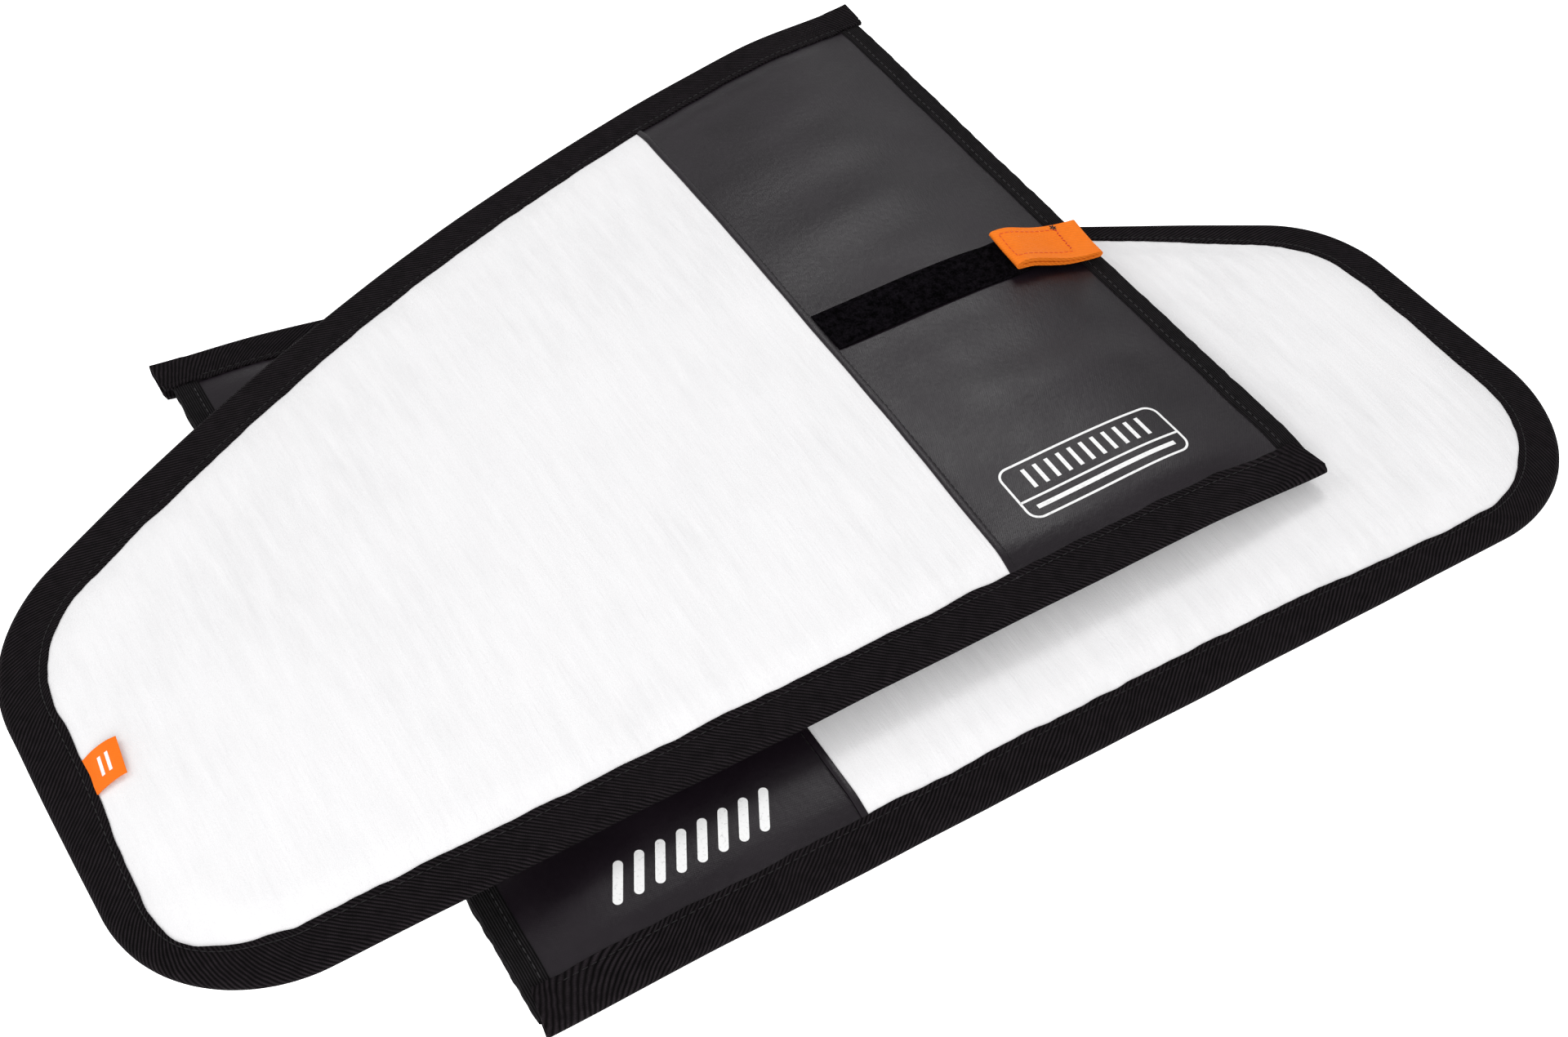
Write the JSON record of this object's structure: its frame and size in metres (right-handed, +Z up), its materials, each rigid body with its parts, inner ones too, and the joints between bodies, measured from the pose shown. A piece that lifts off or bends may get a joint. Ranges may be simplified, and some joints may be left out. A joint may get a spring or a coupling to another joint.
{
  "type": "hydrofoil wing cover pair",
  "caption": "Left and right padded pocket covers for a hydrofoil front wing, stacked; white cloth and dark tarpaulin faces, bound edges, hook-and-loop strap with pull tab.",
  "frame": {"origin": "middle of the underside of the pair's bounding box, on the surface that the lower cover lies on", "axes": "+Z up through both covers, +X along the lower cover's straight trailing edge from its open root to its tip, +Y towards its bowed leading edge"},
  "size_m": [0.543, 0.3784, 0.0411],
  "materials": {
    "white_cloth": "short-napped brushed cloth",
    "tarpaulin": "satin coated tarpaulin with a fine scrim",
    "foam": "closed-cell foam sheet",
    "lining": "plain woven lining",
    "binding_tape": "ribbed woven tape",
    "hem_tape": "ribbed woven tape",
    "loop_pile": "looped pile tape",
    "hook_tape": "moulded hook tape",
    "orange_webbing": "woven webbing",
    "orange_satin": "smooth satin",
    "stitch_thread": "twisted thread",
    "print_ink": "screen-printed ink"
  },
  "bodies": {
    "lower_cover": {"lower_back_white_panel": "white_cloth", "lower_front_white_panel": "white_cloth", "lower_back_tarp_panel": "tarpaulin", "lower_front_tarp_panel": "tarpaulin", "lower_back_foam": "foam", "lower_front_foam": "foam", "lower_back_lining": "lining", "lower_front_lining": "lining", "lower_edge_binding": "binding_tape", "lower_back_root_hem": "hem_tape", "lower_front_root_hem": "hem_tape", "lower_loop_tape": "loop_pile", "lower_stripe_mark": "print_ink"},
    "upper_cover": {"upper_back_white_panel": "white_cloth", "upper_front_white_panel": "white_cloth", "upper_back_tarp_panel": "tarpaulin", "upper_front_tarp_panel": "tarpaulin", "upper_back_foam": "foam", "upper_front_foam": "foam", "upper_back_lining": "lining", "upper_front_lining": "lining", "upper_edge_binding": "binding_tape", "upper_back_root_hem": "hem_tape", "upper_front_root_hem": "hem_tape", "upper_loop_tape": "loop_pile", "upper_size_badge": "print_ink"},
    "strap": {"upper_strap": "loop_pile", "upper_hook_patch": "hook_tape", "upper_pull_tab": "orange_webbing", "upper_tab_stitching": "stitch_thread"},
    "label": {"upper_label": "orange_satin"}
  },
  "joints": [
    {"name": "upper_cover_lift", "type": "slide", "parent": "lower_cover", "child": "upper_cover", "axis": [0, 0, 1], "range_m": [0, 0.25]},
    {"name": "strap_lift", "type": "hinge", "parent": "upper_cover", "child": "strap", "pos_m": [0.11998, 0.00434, 0.0353], "axis": [0.0209, -0.9998, 0], "range_deg": [0, 150]},
    {"name": "label_flap", "type": "hinge", "parent": "upper_cover", "child": "label", "pos_m": [-0.25547, -0.04803, 0.03405], "axis": [-0.0086, -1, 0], "range_deg": [0, 105]}
  ]
}
